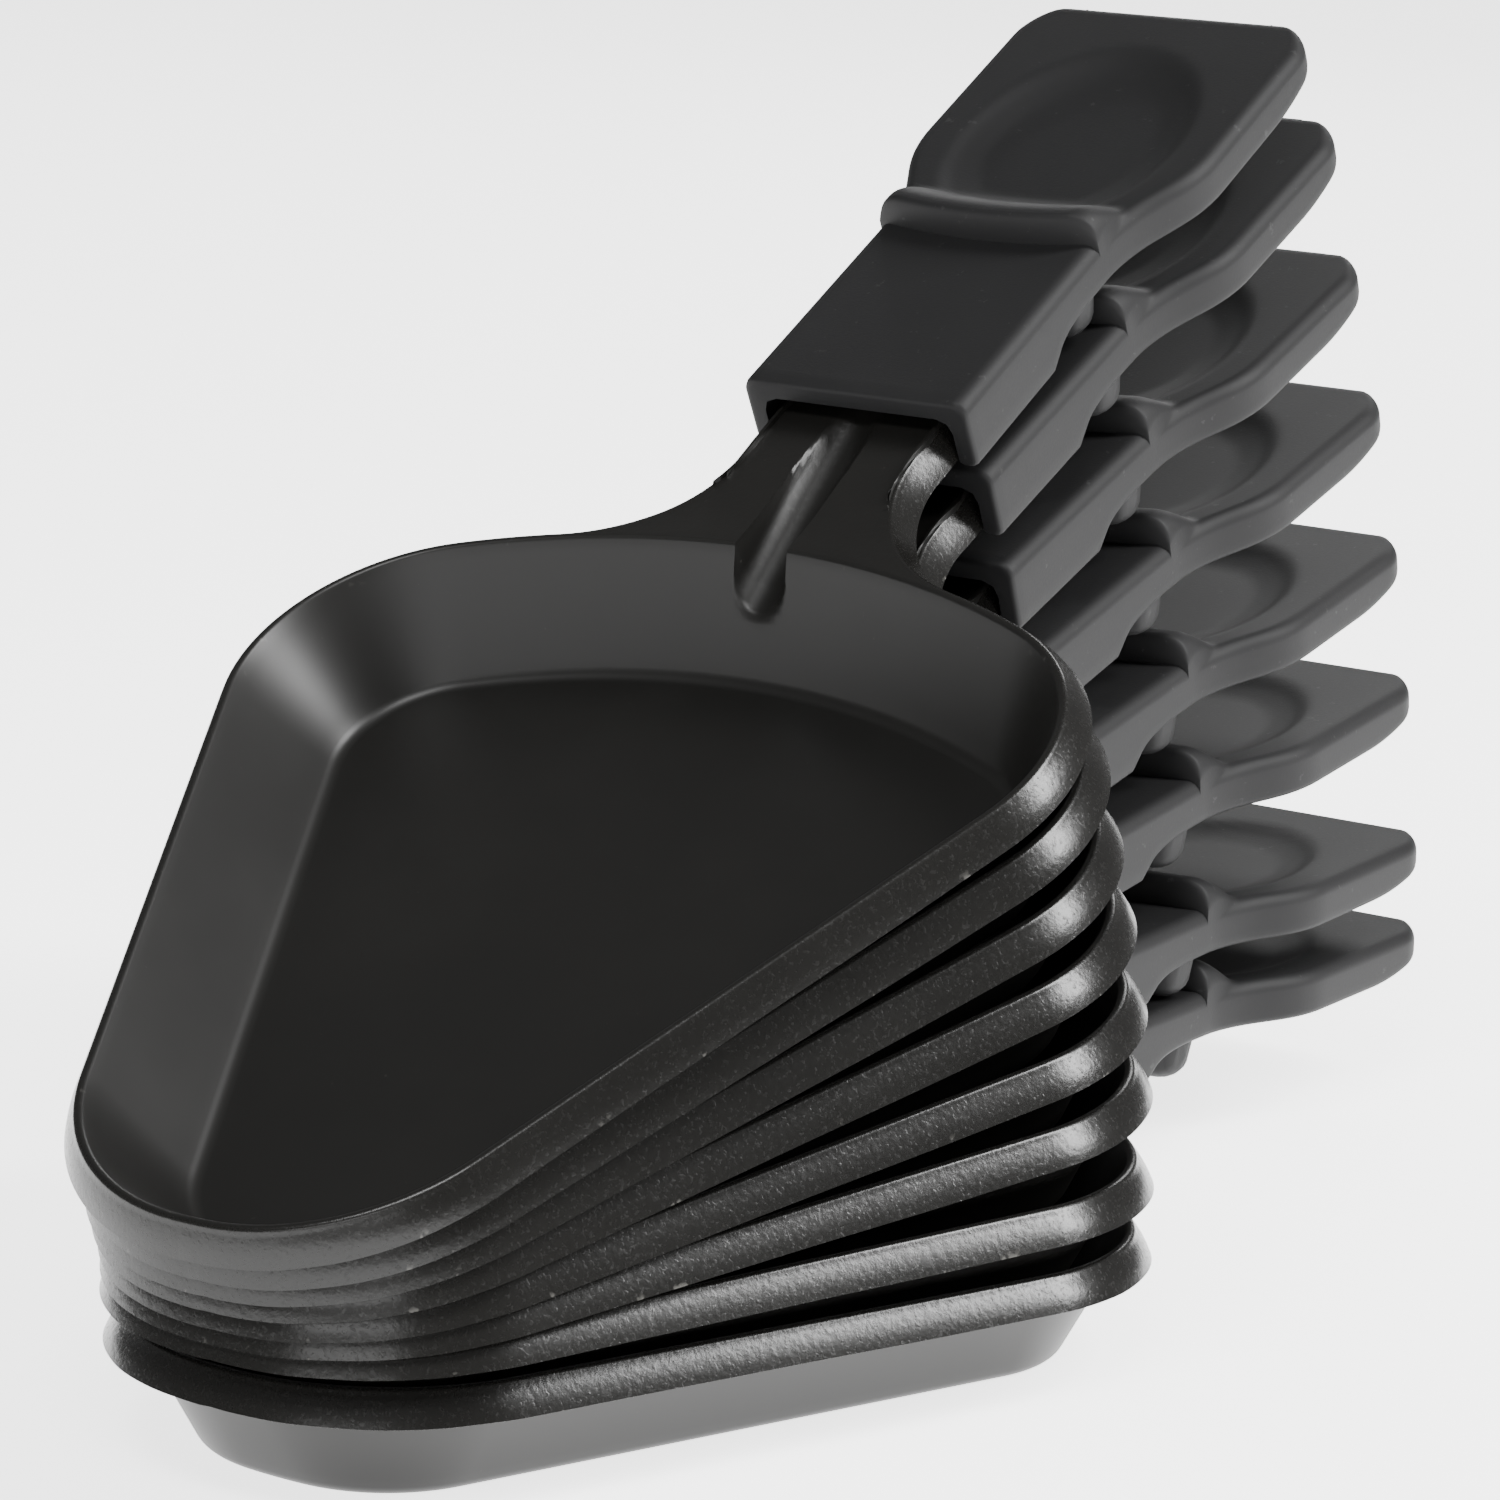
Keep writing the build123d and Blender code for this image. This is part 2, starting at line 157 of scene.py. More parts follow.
class Value:
    """A shader socket that can be added, multiplied and compared with others and with numbers."""

    def __init__(self, sheet, socket):
        self.sheet = sheet
        self.socket = socket

    def maths(self, operation, *others):
        return self.sheet.maths(operation, self, *others)

    def __add__(self, other):
        return self.maths("ADD", other)

    __radd__ = __add__

    def __mul__(self, other):
        return self.maths("MULTIPLY", other)

    __rmul__ = __mul__

    def __sub__(self, other):
        return self.maths("SUBTRACT", other)

    def __rsub__(self, other):
        return self.sheet.maths("SUBTRACT", other, self)

    def clamped(self):
        result = self.maths("ADD", 0.0)
        result.socket.node.use_clamp = True
        return result

    def ramp(self, low, high):
        """0 below low, 1 above high, smooth between."""
        out = self.sheet.node("ShaderNodeMapRange", {"interpolation_type": "SMOOTHSTEP"},
                              {"Value": self, "From Min": low, "From Max": high})
        return Value(self.sheet, out.outputs["Result"])


class Sheet:
    """One material's node tree."""

    def __init__(self, name):
        self.material = bpy.data.materials.new(name)
        self.material.use_nodes = True
        self.tree = self.material.node_tree
        self.surface = self.tree.nodes["Principled BSDF"]

    def node(self, kind, settings=None, inputs=None):
        node = self.tree.nodes.new(kind)
        for key, value in (settings or {}).items():
            setattr(node, key, value)
        for key, value in (inputs or {}).items():
            self.set(node.inputs[key], value)
        return node

    def set(self, socket, value):
        if isinstance(value, Value):
            self.tree.links.new(value.socket, socket)
        elif isinstance(value, bpy.types.NodeSocket):
            self.tree.links.new(value, socket)
        else:
            socket.default_value = value

    def maths(self, operation, *operands):
        node = self.node("ShaderNodeMath", {"operation": operation})
        for socket, operand in zip(node.inputs, operands):
            self.set(socket, operand)
        return Value(self, node.outputs[0])

    def place(self):
        return self.node("ShaderNodeTexCoord").outputs["Object"]

    def noise(self, scale, detail=2.0, roughness=0.5):
        node = self.node("ShaderNodeTexNoise", None, {
            "Vector": self.place(), "Scale": scale, "Detail": detail, "Roughness": roughness})
        return Value(self, node.outputs["Fac"])

    def attribute(self, name):
        node = self.node("ShaderNodeAttribute", {"attribute_name": name})
        return Value(self, node.outputs["Fac"])

    def mixed(self, share, first, second):
        node = self.node("ShaderNodeMix", {"data_type": "RGBA"})
        self.set(node.inputs["Factor"], share)
        colours = [s for s in node.inputs if s.type == "RGBA"]
        self.set(colours[0], first)
        self.set(colours[1], second)
        return [s for s in node.outputs if s.type == "RGBA"][0]

    def bump(self, height, distance, strength=1.0, normal=None):
        inputs = {"Height": height, "Distance": distance, "Strength": strength}
        if normal:
            inputs["Normal"] = normal
        return self.node("ShaderNodeBump", None, inputs).outputs["Normal"]

    def finish(self, **inputs):
        for key, value in inputs.items():
            self.set(self.surface.inputs[key.replace("_", " ")], value)
        return self.material


def rgba(colour_value, factor=1.0):
    return tuple(c * factor for c in colour_value) + (1.0,)


def coating_material(colour_value):
    """Non-stick coating: satin inside the dish, orange-peel gloss and nicks on the skirt."""
    sheet = Sheet("coating")
    skirt = sheet.attribute("skirt")
    edge = sheet.attribute("edge")
    peel = sheet.noise(1500.0, 3.0, 0.55)
    speck = sheet.noise(2600.0, 1.0, 0.5)
    cloud = sheet.noise(38.0, 3.0, 0.6)
    grain = sheet.noise(5200.0, 2.0, 0.6)
    dust = sheet.noise(1400.0, 2.0, 0.7).ramp(0.74, 0.78)
    nick = sheet.noise(420.0, 3.0, 0.6).ramp(0.66, 0.72) * edge
    base = sheet.mixed(cloud.ramp(0.3, 0.7) * 0.5, rgba(colour_value), rgba(colour_value, 1.35))
    base = sheet.mixed((dust * 0.10).clamped(), base, (0.10, 0.095, 0.085, 1.0))
    base = sheet.mixed((nick * 0.30).clamped(), base, (0.20, 0.195, 0.18, 1.0))
    rough = 0.34 + cloud * 0.08 + grain * 0.05 - skirt * 0.17 + speck.ramp(0.5, 0.7) * skirt * 0.06
    peel_bump = sheet.bump(peel * skirt + speck.ramp(0.6, 0.8) * skirt * 0.3, 0.00004, 0.6)
    normal = sheet.bump(grain, 0.000006, 0.3, peel_bump)
    return sheet.finish(Base_Color=base, Roughness=rough.clamped(), Normal=normal,
                        Specular_IOR_Level=0.34)


def plastic_material(colour_value):
    """Matt black moulded plastic with a fine spark-eroded grain."""
    sheet = Sheet("plastic")
    grain = sheet.noise(3800.0, 2.0, 0.6)
    cloud = sheet.noise(30.0, 3.0, 0.6)
    scuff = sheet.noise(700.0, 3.0, 0.7).ramp(0.66, 0.72)
    base = sheet.mixed(cloud.ramp(0.3, 0.7) * 0.6, rgba(colour_value), rgba(colour_value, 1.3))
    base = sheet.mixed((scuff * 0.10).clamped(), base, (0.10, 0.10, 0.10, 1.0))
    rough = 0.50 + cloud * 0.06 + grain * 0.08 - scuff * 0.05
    normal = sheet.bump(grain, 0.00003, 0.4)
    return sheet.finish(Base_Color=base, Roughness=rough.clamped(), Normal=normal,
                        Specular_IOR_Level=0.17)


def screw_material():
    sheet = Sheet("zinc")
    cloud = sheet.noise(400.0, 3.0, 0.6)
    base = sheet.mixed(cloud, (0.38, 0.39, 0.40, 1.0), (0.55, 0.56, 0.57, 1.0))
    return sheet.finish(Base_Color=base, Roughness=(0.28 + cloud * 0.2).clamped(), Metallic=1.0,
                        Normal=sheet.bump(cloud, 0.00002, 0.3))


def floor_material(colour_value):
    sheet = Sheet("floor")
    cloud = sheet.noise(4.0, 2.0, 0.5)
    base = sheet.mixed(cloud * 0.1, rgba(colour_value), rgba(colour_value, 0.97))
    return sheet.finish(Base_Color=base, Roughness=(0.6 + cloud * 0.05).clamped(),
                        Emission_Color=base, Emission_Strength=3.0)


# -- geometry helpers --------------------------------------------------------------------------

def pan_matrix(number):
    tilt, twist, x, y, z = PLACING[number - 1]
    turn = Matrix.Rotation(math.radians(twist), 4, "Z") @ Matrix.Rotation(math.radians(tilt), 4, "X")
    return Matrix.Translation(Vector((x, y, z)) * MM) @ turn


def arc_points(centre, radius, start, end, count):
    """Points on the arc from direction start to direction end, both ends included."""
    a = math.atan2(start[1] - centre[1], start[0] - centre[0])
    b = math.atan2(end[1] - centre[1], end[0] - centre[0])
    if b - a > math.pi:
        b -= 2 * math.pi
    if a - b > math.pi:
        b += 2 * math.pi
    steps = [a + (b - a) * i / count for i in range(count + 1)]
    return [(centre[0] + radius * math.cos(t), centre[1] + radius * math.sin(t)) for t in steps]


def line_points(start, end, count):
    return [(start[0] + (end[0] - start[0]) * i / count, start[1] + (end[1] - start[1]) * i / count)
            for i in range(count + 1)]


def towards(centre, point, radius):
    """Point at radius from centre, in the direction of point."""
    dx, dy = point[0] - centre[0], point[1] - centre[1]
    size = math.hypot(dx, dy)
    return centre[0] + dx * radius / size, centre[1] + dy * radius / size


def smooth(t):
    t = min(max(t, 0.0), 1.0)
    return t * t * (3.0 - 2.0 * t)


def finished(name, mesh_builder, number, material, body):
    """Turns a bmesh drawn in the pan frame, in millimetres, into an object of pan number."""
    mesh_builder.transform(pan_matrix(number) @ Matrix.Scale(MM, 4))
    bmesh.ops.recalc_face_normals(mesh_builder, faces=mesh_builder.faces)
    for face in mesh_builder.faces:
        face.smooth = True
    mesh = bpy.data.meshes.new(name)
    mesh_builder.to_mesh(mesh)
    mesh_builder.free()
    mesh.set_sharp_from_angle(angle=math.radians(50))
    piece = bpy.data.objects.new(name, mesh)
    bpy.context.scene.collection.objects.link(piece)
    mesh.materials.append(material)
    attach(piece, body)
    return piece


# -- dish --------------------------------------------------------------------------------------

class DishShape:
    """Plan curves of the dish: the dish outline, and the rim and neck outline."""

    SIDE_CURVES = (4, 22, 14, 26, 8)
    NECK_SIDE = 26
    NECK_COLUMNS = (1.0, 0.82, 0.66, 0.52, 0.43, 0.37, 0.345, 0.33, 0.30, 0.25, 0.19, 0.13, 0.065)

    def __init__(self, size):
        self.size = size
        self.slant = math.hypot(1.0, size.opening)
        self.rear_y = size.crest_length / 2 - size.rear_bow
        self.tip_y = size.tip_bow - size.crest_length / 2
        flare_x = size.neck_half + size.neck_flare
        reach = size.rear_bow + size.neck_flare
        self.flare = (flare_x, self.rear_y + math.sqrt(reach ** 2 - flare_x ** 2))

    def corner(self, bow_y, reach, radius, sign):
        size = self.size
        half = size.half_width - radius * self.slant
        a = 1.0 + size.opening ** 2
        b = 2.0 * (half * size.opening - bow_y)
        c = half ** 2 + bow_y ** 2 - reach ** 2
        y = (-b + sign * math.sqrt(b * b - 4.0 * a * c)) / (2.0 * a)
        return half + size.opening * y, y

    def rings(self, out, tight=0.0):
        """Right half of (dish outline, rim outline), moved out by out; tight draws corners in."""
        size = self.size
        rear_r = size.rear_corner - FLOOR_TIGHTNESS[0] * tight
        tip_r = size.tip_corner - FLOOR_TIGHTNESS[1] * tight
        rear = self.corner(self.rear_y, size.rear_bow - rear_r, rear_r, 1)
        tip = self.corner(self.tip_y, size.tip_bow - tip_r, tip_r, -1)
        rear_bow, tip_bow = (0.0, self.rear_y), (0.0, self.tip_y)
        nx, ny = 1.0 / self.slant, -size.opening / self.slant
        tip_join = towards(tip_bow, tip, size.tip_bow + out)
        tip_side = (tip[0] + nx * (tip_r + out), tip[1] + ny * (tip_r + out))
        rear_side = (rear[0] + nx * (rear_r + out), rear[1] + ny * (rear_r + out))
        rear_join = towards(rear_bow, rear, size.rear_bow + out)
        neck_join = towards(rear_bow, self.flare, size.rear_bow + out)
        counts = self.SIDE_CURVES
        tip_middle = (0.0, self.tip_y - size.tip_bow)
        common = arc_points(tip_bow, size.tip_bow + out, tip_middle, tip_join, counts[0])
        common += arc_points(tip, tip_r + out, tip_join, tip_side, counts[1])[1:]
        common += line_points(tip_side, rear_side, counts[2])[1:]
        common += arc_points(rear, rear_r + out, rear_side, rear_join, counts[3])[1:]
        common += arc_points(rear_bow, size.rear_bow + out, rear_join, neck_join, counts[4])[1:]
        dish, rim = list(common), list(common)
        end_half = size.neck_half + out
        start_x = neck_join[0]
        radius = size.rear_bow + out
        for i in range(1, self.NECK_SIDE + 1):
            x = start_x + (size.neck_half - start_x) * i / self.NECK_SIDE
            dish.append((x, self.rear_y + math.sqrt(radius ** 2 - x * x)))
        flare_steps = self.NECK_SIDE - 4
        side = arc_points(self.flare, size.neck_flare - out, neck_join,
                          (end_half, self.flare[1]), flare_steps)[1:]
        side += line_points((end_half, self.flare[1]), (end_half, size.channel_end), 4)[1:]
        rim += side
        for share in self.NECK_COLUMNS[1:] + (0.0,):
            x = size.neck_half * share
            dish.append((x, self.rear_y + math.sqrt(radius ** 2 - x * x)))
            rim.append((x, size.channel_end))
        return dish, rim


def neck_lift(size, y):
    return size.neck_rise * smooth((y - 50.0) / 14.0)


def groove_height(size, x, y):
    """Height of the pressed groove, or a large number beside it."""
    if abs(x) >= size.groove_half or y < 43.0:
        return 99.0
    bottom = 6.3 + (y - 44.6) * 0.274
    return bottom + size.groove_half - math.sqrt(size.groove_half ** 2 - x * x)


def dish_mesh(size):
    """The sheet's upper and outer face as rings, thickened into a closed shell."""
    shape = DishShape(size)
    slope = (size.wall_inset - size.rim_half) / (size.depth - size.rim_half - size.sheet)
    wall_angle = math.atan(slope)
    floor_z = size.sheet
    fillet = size.floor_fillet
    turn = math.pi / 2 - wall_angle
    tangent = fillet * math.tan(turn / 2)
    rings = []

    def ring(out, z, share=0.0, skirt=0.0, edge=0.0, tight=0.0, drop=False, wobble=0.0):
        dish, rim = shape.rings(out, tight)
        points = []
        for (ax, ay), (bx, by) in zip(dish, rim):
            x, y = ax + (bx - ax) * share, ay + (by - ay) * share
            points.append((x, y))
        full = points + [(-x, y) for x, y in reversed(points[1:-1])]
        placed = []
        for i, (x, y) in enumerate(full):
            height = z + (neck_lift(size, y) if share > 0.0 else 0.0)
            if wobble:
                phase = 2 * math.pi * i / len(full)
                height += wobble * (math.sin(9 * phase + 1.3) + math.sin(23 * phase) * 0.6
                                    + math.sin(41 * phase + 0.7) * 0.4)
            if not drop:
                height = min(height, groove_height(size, x, y))
            placed.append((x, y, height))
        rings.append((placed, skirt, edge))

    foot = -size.wall_inset - tangent
    for scale in FLOOR_SHARES:
        dish, _ = shape.rings(foot, 1.0)
        points = [(x * scale, FLOOR_CENTRE_Y + (y - FLOOR_CENTRE_Y) * scale) for x, y in dish]
        full = points + [(-x, y) for x, y in reversed(points[1:-1])]
        rings.append(([(x, y, floor_z) for x, y in full], 0.0, 0.0))
    for i in range(FILLET_RINGS):
        share = i / (FILLET_RINGS - 1)
        a = turn * share
        ring(foot + fillet * math.sin(a), floor_z + fillet * (1 - math.cos(a)), tight=1.0 - 0.1 * share)
    start_out = foot + fillet * math.sin(turn)
    start_z = floor_z + fillet * (1 - math.cos(turn))
    roll_z = size.depth - size.rim_half
    lean_out = -size.rim_half * math.cos(wall_angle)
    lean_z = roll_z + size.rim_half * math.sin(wall_angle)
    for i in range(1, WALL_RINGS + 1):
        t = i / WALL_RINGS
        ring(start_out + (lean_out - start_out) * t, start_z + (lean_z - start_z) * t,
             tight=0.9 * (1 - t), edge=0.3 if i == WALL_RINGS else 0.0)
    for i in range(1, ROLL_RINGS + 1):
        a = (math.pi / 2 - wall_angle) * i / ROLL_RINGS + wall_angle
        ring(-size.rim_half * math.cos(a), roll_z + size.rim_half * math.sin(a),
             skirt=0.35 * i / ROLL_RINGS, edge=0.5)
    for i in range(1, NECK_ROWS + 1):
        ring(0.0, size.depth, share=i / NECK_ROWS, skirt=0.4 + 0.3 * i / NECK_ROWS)
    skirt_angle = math.atan2(size.skirt_reach - size.rim_half, size.skirt_depth - size.rim_half) * 0.6
    for i in range(1, ROLL_RINGS + 1):
        a = math.pi / 2 - (math.pi / 2 - skirt_angle) * i / ROLL_RINGS
        ring(size.rim_half * math.cos(a), roll_z + size.rim_half * math.sin(a), share=1.0,
             skirt=0.7 + 0.3 * i / ROLL_RINGS, drop=True)
    from_out = size.rim_half * math.cos(skirt_angle)
    from_z = roll_z + size.rim_half * math.sin(skirt_angle)
    to_z = size.depth - size.skirt_depth
    for i in range(1, SKIRT_RINGS + 1):
        t = i / SKIRT_RINGS
        bow = SKIRT_BOW * math.sin(math.pi * t)
        ring(from_out + (size.skirt_reach - from_out) * t + bow, from_z + (to_z - from_z) * t, share=1.0,
             skirt=1.0, edge=smooth((t - 0.8) / 0.2), drop=True, wobble=SKIRT_WAVE * t)
    return skin_rings(rings, size.sheet, (0.0, FLOOR_CENTRE_Y, floor_z))


def skin_rings(rings, sheet, pole):
    builder = bmesh.new()
    skirt_layer = builder.verts.layers.float.new("skirt")
    edge_layer = builder.verts.layers.float.new("edge")
    loops = []
    for points, skirt, edge in rings:
        loop = []
        for point in points:
            vert = builder.verts.new(point)
            vert[skirt_layer] = skirt
            vert[edge_layer] = edge
            loop.append(vert)
        loops.append(loop)
    centre = builder.verts.new(pole)
    count = len(loops[0])
    for i in range(count):
        builder.faces.new((centre, loops[0][i], loops[0][(i + 1) % count]))
    for inner, outer in zip(loops, loops[1:]):
        for i in range(count):
            j = (i + 1) % count
            builder.faces.new((inner[i], outer[i], outer[j], inner[j]))
    bmesh.ops.remove_doubles(builder, verts=builder.verts, dist=WELD)
    bmesh.ops.dissolve_degenerate(builder, dist=WELD, edges=builder.edges)
    thicken(builder, sheet)
    return builder


def thicken(builder, sheet):
    """Adds the lower face of the sheet and closes its edge."""
    bmesh.ops.recalc_face_normals(builder, faces=builder.faces)
    builder.faces.ensure_lookup_table()
    middle = min(builder.faces, key=lambda f: f.calc_center_median().xy.length)
    if middle.normal.z < 0:
        bmesh.ops.reverse_faces(builder, faces=builder.faces)
    builder.normal_update()
    shifts = {}
    for vert in builder.verts:
        lean = sum((face.normal * face.calc_area() for face in vert.link_faces), Vector())
        shifts[vert] = lean.normalized() * -sheet
    copied = bmesh.ops.duplicate(builder, geom=builder.verts[:] + builder.edges[:] + builder.faces[:])
    for vert, shift in shifts.items():
        copied["vert_map"][vert].co = vert.co + shift
    under = [item for item in copied["geom"] if isinstance(item, bmesh.types.BMFace)]
    bmesh.ops.reverse_faces(builder, faces=under)
    rims = [edge for edge in builder.edges if edge.is_boundary]
    bmesh.ops.bridge_loops(builder, edges=rims)


# -- handle ------------------------------------------------------------------------------------

class HandleShape:
    """Heights and widths of the handle at any place along it."""

    POCKET_HALF = 10.4
    POCKET_TOP = 14.4
    POCKET_END = 84.0

    def __init__(self, size):
        self.size = size

    def half(self, y):
        size = self.size
        wide = size.socket_half + (size.grip_half - size.socket_half) * self.swell(y)
        start = size.end - size.corner
        if y > start:
            t = min((y - start) / size.corner, 1.0)
            wide -= size.corner * (1.0 - math.sqrt(max(1.0 - t * t, 0.0)))
        if y < size.front + 0.5:
            t = 1.0 - (y - size.front) / 0.5
            wide -= 0.5 * (1.0 - math.sqrt(max(1.0 - t * t, 0.0)))
        return wide

    @staticmethod
    def swell(y):
        return smooth((y - SWELL_START) / SWELL_RUN)

    def round_ends(self, y):
        """How much the top and bottom draw in at both ends."""
        size = self.size
        drop = 0.0
        for place, radius in ((size.end - y, 1.4), (y - size.front, 0.6)):
            if place < radius:
                t = 1.0 - place / radius
                drop = max(drop, radius * (1.0 - math.sqrt(max(1.0 - t * t, 0.0))))
        return drop

    def top(self, x, y):
        size = self.size
        half = self.half(y)
        height = size.top - self.round_ends(y)
        reach = math.hypot(x / SCOOP_HALF[0], (y - SCOOP_Y) / SCOOP_HALF[1])
        if reach < 1.0:
            height -= size.scoop_depth * (1.0 - reach * reach) ** 0.85 * smooth((1.0 - reach) * 6.0 + 0.25)
        return max(height, self.ridge(x, y))

    def ridge(self, x, y):
        """Height of the finger ridge, or 0 beside it; its ends are quarter rounds."""
        size = self.size
        front = size.ridge_front + RIDGE_BOW * (x / size.socket_half) ** 2
        if y <= front or abs(x) > size.socket_half + 1e-6:
            return 0.0
        over = max(abs(x) - (size.socket_half - END_ROUND), 0.0)
        fall_off = END_ROUND - math.sqrt(max(END_ROUND ** 2 - over * over, 0.0))
        lift = max(size.ridge_height - fall_off, 0.0)
        rise = min((y - front) / 0.7, 1.0)
        lift *= math.sqrt(max(1.0 - (1.0 - rise) ** 2, 0.0))
        fall = smooth((y - front - 1.3) / 8.5)
        return size.top + lift - (lift + size.scoop_depth * 0.6) * fall

    def bottom(self, x, y):
        size = self.size
        if y < STEP_START:
            height = size.socket_bottom
        elif y < STEP_START + STEP_RUN:
            t = (y - STEP_START) / STEP_RUN
            height = size.socket_bottom + (size.bottom - size.socket_bottom) * math.sqrt(1 - (1 - t) ** 2)
        elif y < LIFT_START:
            height = size.bottom
        else:
            height = size.bottom + LIFT * ((y - LIFT_START) / (size.end - LIFT_START)) ** 2
        height += self.round_ends(y) * 0.6
        over = max(abs(x) - FOOT_STRAIGHT, 0.0)
        left = FOOT_RADIUS ** 2 - (y - FOOT_Y) ** 2 - over * over
        if left > 0.0:
            height = min(height, FOOT_Z - math.sqrt(left))
        return height

    def section(self, y, bend):
        """Closed cross-section at y, from the pocket's middle round to the middle again."""
        size = self.size
        half = self.half(y)
        pocket = y < self.POCKET_END
        points = []
        inner_top = self.POCKET_TOP if pocket else None
        for x in (0.0, 3.0, 6.0, 8.0, 8.8):
            points.append((x, inner_top if pocket else self.bottom(x, y)))
        if pocket:
            points += [(10.0, inner_top - 0.5), (self.POCKET_HALF, inner_top - 1.6)]
            points += [(self.POCKET_HALF, self.bottom(self.POCKET_HALF, y) + 0.3)]
        else:
            points += [(x, self.bottom(x, y)) for x in (9.6, 10.2, 10.4)]
        points += [(10.9, self.bottom(10.9, y)), (11.4, self.bottom(11.4, y))]
        low = self.bottom(half, y)
        edge_low = 0.7
        points.append((half - edge_low - 0.2, low))
        for i in range(5):
            a = math.pi / 2 * i / 4
            points.append((half - edge_low + edge_low * math.sin(a), low + edge_low * (1 - math.cos(a))))
        edge = min(size.edge, (size.top - low) * 0.45)
        side_top = size.top - self.round_ends(y) - edge
        for i in range(1, 4):
            points.append((half, low + edge_low + (side_top - low - edge_low) * i / 4))
        for i in range(13):
            a = math.pi / 2 * i / 12
            x = half - edge + edge * math.cos(a)
            z = side_top + edge * math.sin(a)
            points.append((x, max(z, self.ridge(x, self.bent(x, y, bend)))))
        inner = half - edge
        for i in range(1, 29):
            x = inner * (1.0 - i / 28)
            points.append((x, self.top(x, self.bent(x, y, bend))))
        right = [(x, self.bent(x, y, bend), z) for x, z in points]
        return right + [(-x, along, z) for x, along, z in reversed(right[1:-1])]

    def bent(self, x, y, bend):
        """Stations near the ridge follow its bow."""
        size = self.size
        return y + bend * RIDGE_BOW * (min(abs(x), size.socket_half) / size.socket_half) ** 2


def handle_stations(size):
    """Places along the handle, and how far each bends with the ridge."""
    front = size.ridge_front
    places = [size.front + d for d in (0.0, 0.08, 0.25, 0.6, 2.0, 5.0, 9.0, 13.0, 16.0, 17.49, 17.51)]
    places += [84.4 + 0.4 * i for i in range(15)]
    places += [90.6, 91.2, 91.8, 92.3, front - 0.02, front + 0.02, front + 0.08, front + 0.18, front + 0.32]
    places += [front + 0.5, front + 0.7, front + 1.0, front + 1.4]
    places += [front + 2.0 + 0.6 * i for i in range(22)]
    places += [108.0 + 1.2 * i for i in range(18)]
    places += [size.end - size.corner + size.corner * math.sin(math.pi / 2 * i / 14) for i in range(15)]
    places = sorted(set(round(p, 4) for p in places))
    stations = []
    for place in places:
        near = smooth((place - 86.0) / 5.0) * (1.0 - smooth((place - 98.0) / 10.0))
        stations.append((place, near))
    return stations


def handle_mesh(size):
    shape = HandleShape(size)
    builder = bmesh.new()
    loops = []
    for place, bend in handle_stations(size):
        loops.append([builder.verts.new(p) for p in shape.section(place, bend)])
    count = len(loops[0])
    for near, far in zip(loops, loops[1:]):
        for i in range(count):
            j = (i + 1) % count
            builder.faces.new((near[i], far[i], far[j], near[j]))
    for loop in (loops[0], loops[-1]):
        builder.faces.new(loop)
    bmesh.ops.remove_doubles(builder, verts=builder.verts, dist=0.0005)
    bmesh.ops.dissolve_degenerate(builder, dist=0.0005, edges=builder.edges)
    return builder


# -- operators ---------------------------------------------------------------------------------

class PANSTACK_OT_dishes(bpy.types.Operator):
    """Build the eight pressed steel dishes"""
    bl_idname = "panstack.dishes"
    bl_label = "Build dishes"

    def execute(self, context):
        size = context.scene.panstack_dish
        material = coating_material(size.coating)
        for number in range(1, len(PLACING) + 1):
            piece = finished(f"pan_dish_{number}", dish_mesh(size), number, material, f"pan_{number}")
            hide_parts(f"dish_{number}")
        return {"FINISHED"}


class PANSTACK_OT_handles(bpy.types.Operator):
    """Build the eight plastic handles"""
    bl_idname = "panstack.handles"
    bl_label = "Build handles"

    def execute(self, context):
        size = context.scene.panstack_handle
        material = plastic_material(size.plastic)
        for number in range(1, len(PLACING) + 1):
            piece = finished(f"pan_handle_{number}", handle_mesh(size), number, material,
                             f"pan_{number}")
            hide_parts(f"handle_{number}")
        return {"FINISHED"}


class PANSTACK_OT_screws(bpy.types.Operator):
    """Finish the eight hidden screws"""
    bl_idname = "panstack.screws"
    bl_label = "Finish screws"

    def execute(self, context):
        material = screw_material()
        for number in range(1, len(PLACING) + 1):
            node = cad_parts[f"screw_{number}"]
            node.data.materials.clear()
            node.data.materials.append(material)
        return {"FINISHED"}


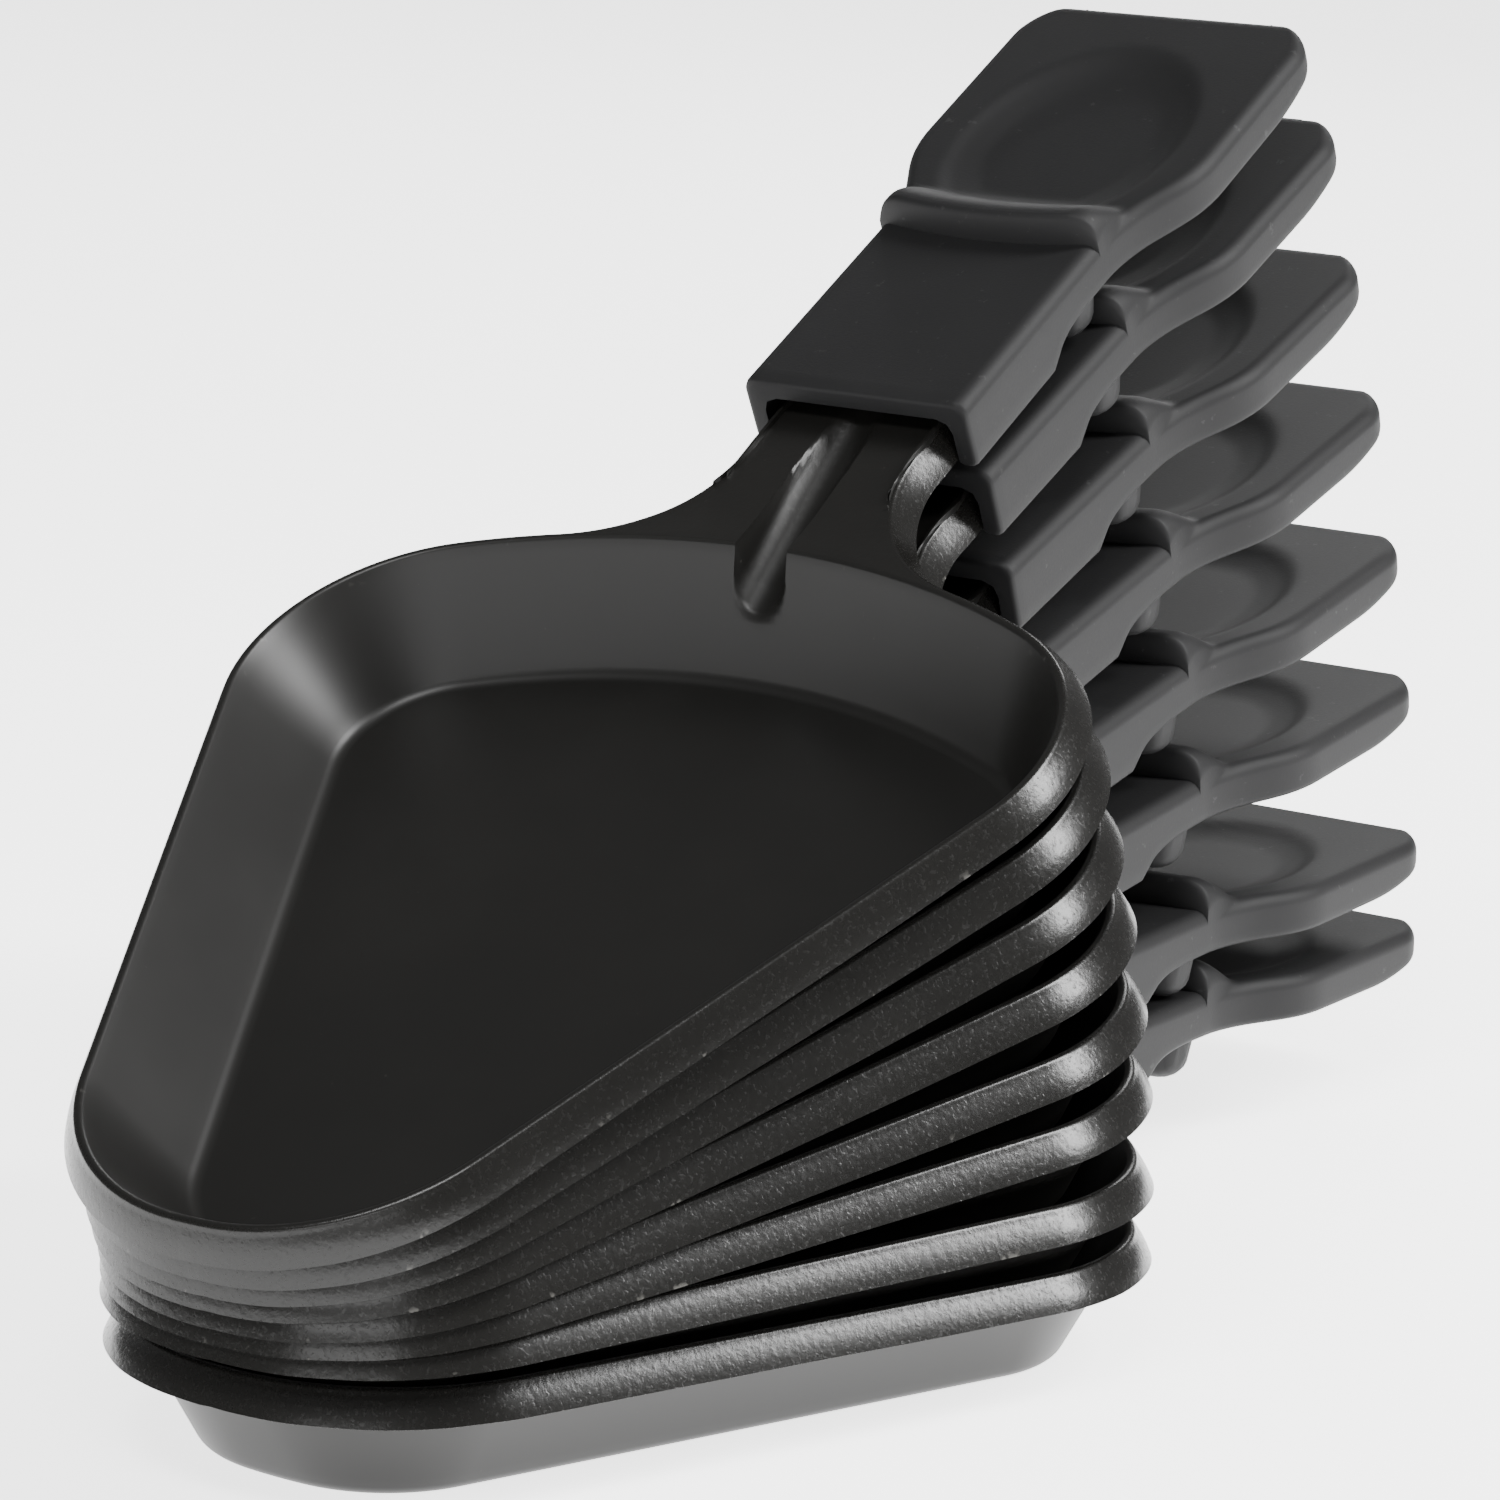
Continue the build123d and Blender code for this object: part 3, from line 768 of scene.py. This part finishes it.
class PANSTACK_OT_stage(bpy.types.Operator):
    """Set up floor, lights, world and camera"""
    bl_idname = "panstack.stage"
    bl_label = "Build stage"

    def execute(self, context):
        stage = context.scene.panstack_stage
        builder = bmesh.new()
        bmesh.ops.create_grid(builder, x_segments=1, y_segments=1, size=4.0)
        mesh = bpy.data.meshes.new("stage_floor")
        builder.to_mesh(mesh)
        builder.free()
        floor = bpy.data.objects.new("stage_floor", mesh)
        mesh.materials.append(floor_material(stage.floor))
        context.scene.collection.objects.link(floor)
        for name, place, aim, size, power in (
            ("stage_key", (0.72, 0.40, 0.75), (0, 0.02, 0.03), (0.22, 0.8), 26.0),
            ("stage_top", (0.20, -0.50, 0.95), (0, 0.0, 0.05), (0.6, 0.25), 9.0),
            ("stage_front", (0.35, -1.05, 0.35), (0, 0, 0.03), (0.8, 0.2), 3.0),
            ("stage_back", (-0.35, 0.95, 0.55), (0, 0, 0.05), (0.6, 0.25), 3.0),
        ):
            data = bpy.data.lights.new(name, "AREA")
            data.shape = "RECTANGLE"
            data.size, data.size_y = size
            data.energy = power
            lamp = bpy.data.objects.new(name, data)
            lamp.location = place
            lamp.rotation_euler = (Vector(aim) - Vector(place)).to_track_quat("-Z", "Y").to_euler()
            context.scene.collection.objects.link(lamp)
        world = bpy.data.worlds.new("stage_world")
        world.use_nodes = True
        background = world.node_tree.nodes["Background"]
        background.inputs["Color"].default_value = (1.0, 1.0, 1.0, 1.0)
        background.inputs["Strength"].default_value = 0.22
        context.scene.world = world
        context.scene.camera = stage_camera(context)
        return {"FINISHED"}


def stage_camera(context):
    """Long lens, from the front right, a little above the stack."""
    azimuth, elevation = math.radians(CAMERA_AZIMUTH), math.radians(CAMERA_ELEVATION)
    right = Vector((math.cos(azimuth), math.sin(azimuth), 0.0))
    forward = Vector((-math.sin(azimuth) * math.cos(elevation),
                      math.cos(azimuth) * math.cos(elevation), -math.sin(elevation)))
    down = forward.cross(right)
    roll = math.radians(CAMERA_ROLL)
    across = right * math.cos(roll) - down * math.sin(roll)
    below = right * math.sin(roll) + down * math.cos(roll)
    turn = Matrix((across, -below, -forward)).transposed()
    data = bpy.data.cameras.new("stage_camera")
    data.lens = CAMERA_LENS
    data.sensor_width = SENSOR
    data.clip_start = 0.01
    camera = bpy.data.objects.new("stage_camera", data)
    camera.matrix_world = Matrix.Translation(Vector(CAMERA_PLACE) * MM) @ turn.to_4x4()
    context.scene.collection.objects.link(camera)
    return camera


class PANSTACK_PT_panel(bpy.types.Panel):
    bl_label = "Pan stack"
    bl_idname = "PANSTACK_PT_panel"
    bl_space_type = "VIEW_3D"
    bl_region_type = "UI"
    bl_category = "Pan stack"

    def draw(self, context):
        for group in (context.scene.panstack_dish, context.scene.panstack_handle,
                      context.scene.panstack_stage):
            box = self.layout.box()
            for name in group.__annotations__:
                box.prop(group, name)
        for operator in OPERATORS:
            self.layout.operator(operator.bl_idname)


GROUPS = (PanStackDish, PanStackHandle, PanStackStage)
OPERATORS = (PANSTACK_OT_dishes, PANSTACK_OT_handles, PANSTACK_OT_screws, PANSTACK_OT_stage)
CLASSES = GROUPS + OPERATORS + (PANSTACK_PT_panel,)


def register():
    for cls in CLASSES:
        bpy.utils.register_class(cls)
    scene = bpy.types.Scene
    scene.panstack_dish = bpy.props.PointerProperty(type=PanStackDish)
    scene.panstack_handle = bpy.props.PointerProperty(type=PanStackHandle)
    scene.panstack_stage = bpy.props.PointerProperty(type=PanStackStage)


def unregister():
    scene = bpy.types.Scene
    del scene.panstack_dish, scene.panstack_handle, scene.panstack_stage
    for cls in reversed(CLASSES):
        bpy.utils.unregister_class(cls)


def main():
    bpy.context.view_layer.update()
    register()
    bpy.ops.panstack.dishes()
    bpy.ops.panstack.handles()
    bpy.ops.panstack.screws()
    bpy.ops.panstack.stage()


if __name__ == "__main__":
    main()
